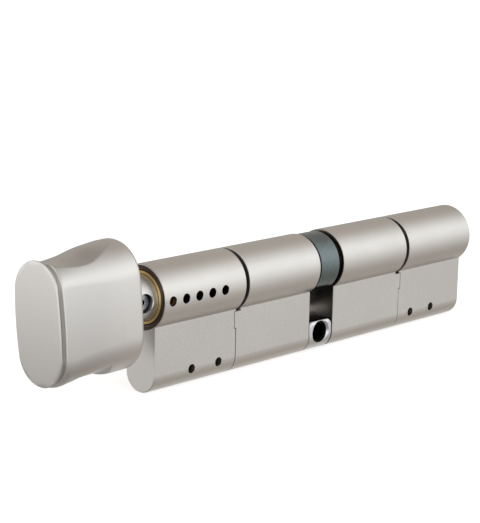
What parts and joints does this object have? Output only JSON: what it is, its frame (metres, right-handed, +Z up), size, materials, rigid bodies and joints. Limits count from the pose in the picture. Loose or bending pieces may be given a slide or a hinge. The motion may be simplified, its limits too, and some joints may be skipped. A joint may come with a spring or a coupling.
{
  "type": "euro cylinder",
  "caption": "Long modular euro profile lock cylinder: oval thumb-turn on one side, keyed plug on the other, and a cam between them that the turn drives.",
  "frame": {"origin": "centre of the M5 fixing screw's hole in the bridge, 19 mm below the plug axis, in the middle of the cam slot and of the web", "axes": "+X along the plug axis from the thumb-turn to the key side, +Y across the web, +Z up from the web's foot to the round head"},
  "size_m": [0.1642, 0.0207, 0.0406],
  "materials": {
    "satin_nickel": "satin nickel plating on brass, fine grain along the web",
    "knob_nickel": "smooth satin nickel plating",
    "bright_chrome": "bright chrome plating on steel",
    "steel": "turned bright steel",
    "cam_steel": "blue-grey sintered steel, oiled",
    "brass": "turned brass",
    "spring_steel": "drawn wire"
  },
  "bodies": {
    "housing": {"knob_end_housing": "satin_nickel", "knob_inner_housing": "satin_nickel", "key_inner_housing": "satin_nickel", "key_end_housing": "satin_nickel", "bridge": "bright_chrome", "cross_pin_knob_outer": "steel", "cross_pin_knob_inner": "steel", "cross_pin_key_inner": "steel", "cross_pin_key_outer": "steel", "pin_spring_1": "spring_steel", "pin_spring_2": "spring_steel", "pin_spring_3": "spring_steel", "pin_spring_4": "spring_steel", "pin_spring_5": "spring_steel"},
    "thumb_turn": {"knob": "knob_nickel", "knob_hub": "steel", "hub_grub_screw": "steel", "knob_spindle": "steel", "knob_plug": "brass", "knob_plug_clip": "spring_steel", "knob_extension": "brass", "clutch_spring": "spring_steel"},
    "cam": {"cam": "cam_steel"},
    "knob_clutch_bar": {"knob_coupler": "steel"},
    "key_rotor": {"key_plug": "brass", "key_plug_clip": "spring_steel", "key_extension": "brass", "anti_drill_pin_near": "steel", "anti_drill_pin_far": "steel"},
    "key_clutch_bar": {"key_coupler": "steel"},
    "driver_pin_1": {"driver_pin_1": "steel"},
    "key_pin_1": {"key_pin_1": "brass"},
    "driver_pin_2": {"driver_pin_2": "steel"},
    "key_pin_2": {"key_pin_2": "brass"},
    "driver_pin_3": {"driver_pin_3": "steel"},
    "key_pin_3": {"key_pin_3": "brass"},
    "driver_pin_4": {"driver_pin_4": "steel"},
    "key_pin_4": {"key_pin_4": "brass"},
    "driver_pin_5": {"driver_pin_5": "steel"},
    "key_pin_5": {"key_pin_5": "brass"}
  },
  "joints": [
    {"name": "knob_turn", "type": "hinge", "parent": "housing", "child": "thumb_turn", "pos_m": [0, 0, 0.019], "axis": [1, 0, 0], "continuous": true},
    {"name": "cam_turn", "type": "hinge", "parent": "housing", "child": "cam", "pos_m": [0, 0, 0.019], "axis": [1, 0, 0], "continuous": true},
    {"name": "key_plug_turn", "type": "hinge", "parent": "housing", "child": "key_rotor", "pos_m": [0, 0, 0.019], "axis": [1, 0, 0], "continuous": true},
    {"name": "key_clutch_push", "type": "slide", "parent": "key_rotor", "child": "key_clutch_bar", "axis": [-1, 0, 0], "range_m": [0, 0.0018], "stiffness_N_per_m": 300},
    {"name": "knob_clutch_push", "type": "slide", "parent": "thumb_turn", "child": "knob_clutch_bar", "axis": [-1, 0, 0], "range_m": [0, 0.0018], "deforming": ["clutch_spring"]},
    {"name": "driver_pin_1_push", "type": "slide", "parent": "housing", "child": "driver_pin_1", "axis": [0, 0, -1], "range_m": [0, 0.0016], "stiffness_N_per_m": 150, "deforming": ["pin_spring_1"]},
    {"name": "key_pin_1_lift", "type": "slide", "parent": "key_rotor", "child": "key_pin_1", "axis": [0, 0, 1], "range_m": [0, 0.0016]},
    {"name": "driver_pin_2_push", "type": "slide", "parent": "housing", "child": "driver_pin_2", "axis": [0, 0, -1], "range_m": [0, 0.0016], "stiffness_N_per_m": 150, "deforming": ["pin_spring_2"]},
    {"name": "key_pin_2_lift", "type": "slide", "parent": "key_rotor", "child": "key_pin_2", "axis": [0, 0, 1], "range_m": [0, 0.0016]},
    {"name": "driver_pin_3_push", "type": "slide", "parent": "housing", "child": "driver_pin_3", "axis": [0, 0, -1], "range_m": [0, 0.0016], "stiffness_N_per_m": 150, "deforming": ["pin_spring_3"]},
    {"name": "key_pin_3_lift", "type": "slide", "parent": "key_rotor", "child": "key_pin_3", "axis": [0, 0, 1], "range_m": [0, 0.0016]},
    {"name": "driver_pin_4_push", "type": "slide", "parent": "housing", "child": "driver_pin_4", "axis": [0, 0, -1], "range_m": [0, 0.0016], "stiffness_N_per_m": 150, "deforming": ["pin_spring_4"]},
    {"name": "key_pin_4_lift", "type": "slide", "parent": "key_rotor", "child": "key_pin_4", "axis": [0, 0, 1], "range_m": [0, 0.0016]},
    {"name": "driver_pin_5_push", "type": "slide", "parent": "housing", "child": "driver_pin_5", "axis": [0, 0, -1], "range_m": [0, 0.0016], "stiffness_N_per_m": 150, "deforming": ["pin_spring_5"]},
    {"name": "key_pin_5_lift", "type": "slide", "parent": "key_rotor", "child": "key_pin_5", "axis": [0, 0, 1], "range_m": [0, 0.0016]}
  ],
  "couplings": [
    {"joint": "cam_turn", "follows": "knob_turn", "ratio": 1},
    {"joint": "knob_clutch_push", "follows": "key_clutch_push", "ratio": 1}
  ]
}
